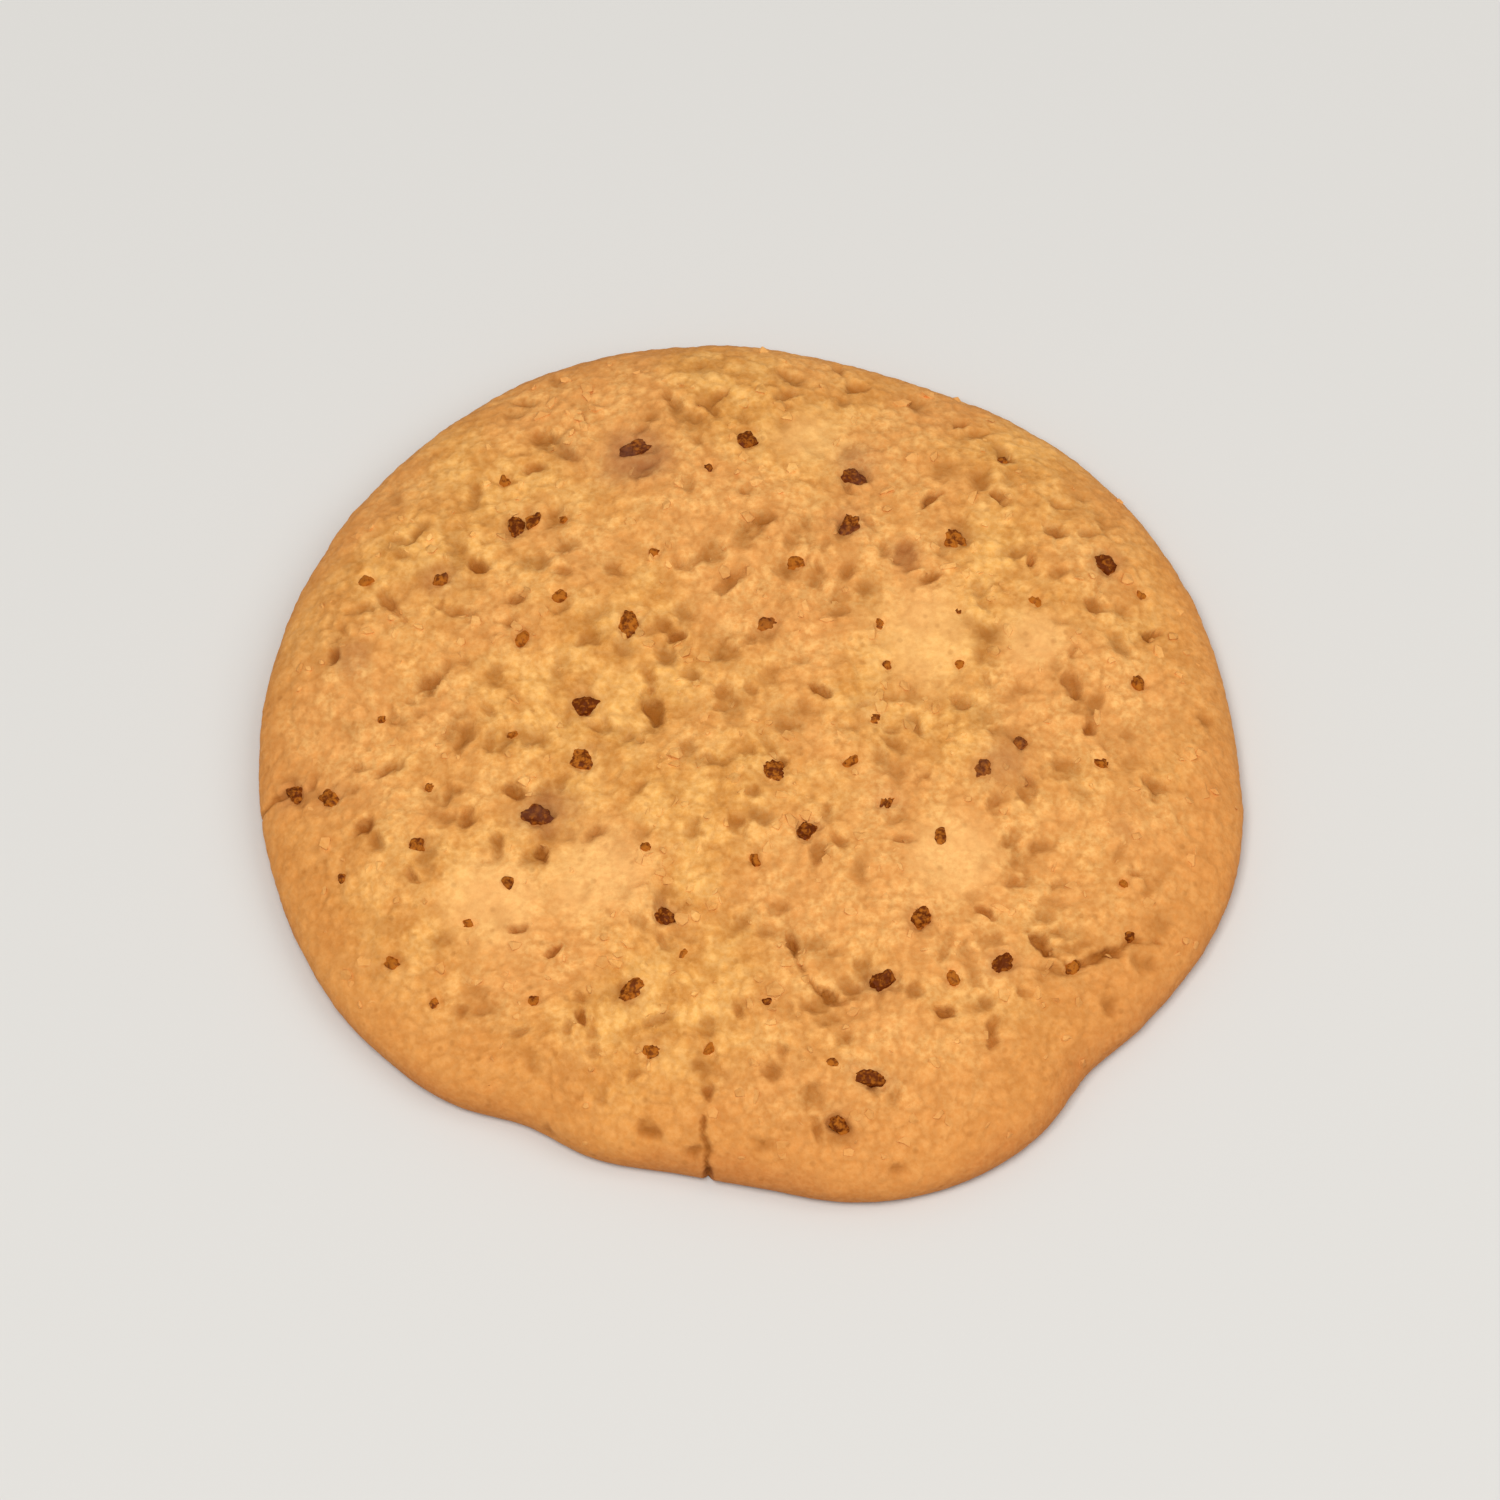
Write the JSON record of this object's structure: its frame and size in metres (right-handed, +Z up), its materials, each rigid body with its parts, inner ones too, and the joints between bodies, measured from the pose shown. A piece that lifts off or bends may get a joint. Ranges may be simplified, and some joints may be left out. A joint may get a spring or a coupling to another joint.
{
  "type": "blueberry cookie",
  "caption": "Round drop cookie with a flat base, a low uneven crust, cracked edges, small blueberry pieces baked in and open pores.",
  "frame": {"origin": "in the flat base, in the middle of the box round the cookie's outline", "axes": "+Z up out of the crust, -Y towards the side that faces the viewer, +X to the viewer's right"},
  "size_m": [0.078, 0.0764, 0.0089],
  "materials": {
    "baked_dough": "matt, crumbly baked dough, golden with an orange-brown edge",
    "blueberry": "dried blueberry, dark brown with a faint purple, slightly glossy"
  },
  "bodies": {
    "root": {"cookie": "baked_dough"}
  },
  "joints": []
}
